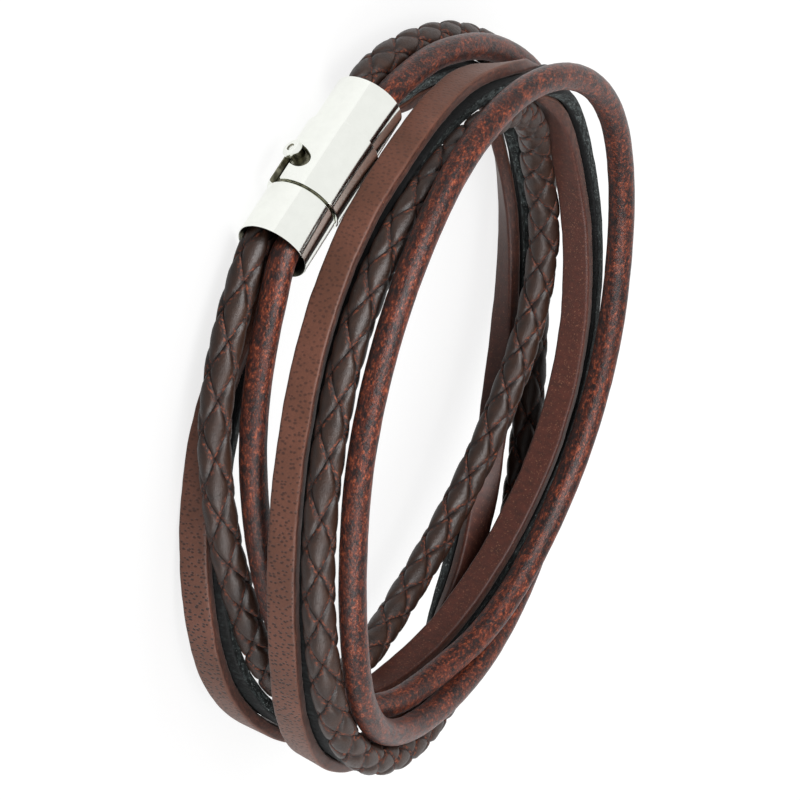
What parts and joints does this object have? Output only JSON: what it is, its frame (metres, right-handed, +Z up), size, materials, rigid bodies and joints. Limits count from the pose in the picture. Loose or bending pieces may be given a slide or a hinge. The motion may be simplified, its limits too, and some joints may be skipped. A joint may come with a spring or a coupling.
{
  "type": "leather wrap bracelet",
  "caption": "Double-wrap bracelet of flat, round and braided leather strands, closed by a polished steel tube clasp with a lock pin.",
  "frame": {"origin": "on the ground under the middle of the bracelet, which lies on its side", "axes": "+Z up, through the loop where the wrist goes; the clasp is at the front left, toward -X and -Y"},
  "size_m": [0.0788, 0.0816, 0.0212],
  "materials": {
    "brown_leather": "matte grained",
    "black_leather": "matte",
    "braid_leather": "satin",
    "antique_leather": "mottled satin",
    "polished_steel": "polished"
  },
  "bodies": {
    "root": {"brown_strip_turn_1": "brown_leather", "brown_strip_turn_2": "brown_leather", "black_strip_turn_1": "black_leather", "black_strip_turn_2": "black_leather", "braided_cord_turn_1": "braid_leather", "braided_cord_turn_2": "braid_leather", "round_cord_turn_1": "antique_leather", "round_cord_turn_2": "antique_leather", "clasp_lower_cap": "polished_steel", "clasp_sleeve": "polished_steel", "clasp_upper_cap": "polished_steel", "lock_pin": "polished_steel"}
  },
  "joints": []
}
